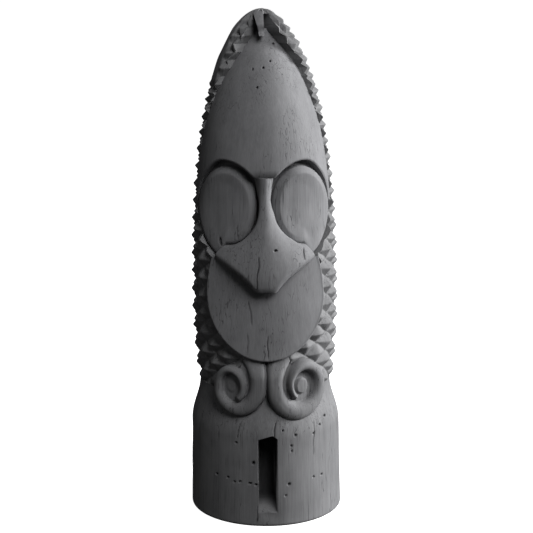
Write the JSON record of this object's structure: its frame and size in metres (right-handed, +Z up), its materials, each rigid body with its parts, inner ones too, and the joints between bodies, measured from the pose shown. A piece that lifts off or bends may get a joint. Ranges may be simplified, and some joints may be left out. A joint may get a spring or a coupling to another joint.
{
  "type": "tiki figure",
  "caption": "Tall carved log figure with a long hooded face, disc eyes, flared nose, round chin, pyramid-cut hair, scrolls below the chin and a slotted round plinth.",
  "frame": {"origin": "middle of the flat underside of the plinth", "axes": "+Z up along the log, -Y the way the face looks, +X to the viewer's right"},
  "size_m": [0.427, 0.4333, 1.4],
  "materials": {
    "plinth_wood": "weathered grey, pitted",
    "face_wood": "weathered grey, smoothed",
    "hair_wood": "weathered grey, knife cut"
  },
  "bodies": {
    "root": {"base_drum": "plinth_wood", "head_core": "face_wood", "forehead": "face_wood", "crown_keel": "face_wood", "left_eye": "face_wood", "right_eye": "face_wood", "nose": "face_wood", "chin_disc": "face_wood", "left_volute": "plinth_wood", "right_volute": "plinth_wood", "hair_left": "hair_wood", "hair_right": "hair_wood", "hair_back": "hair_wood"}
  },
  "joints": []
}
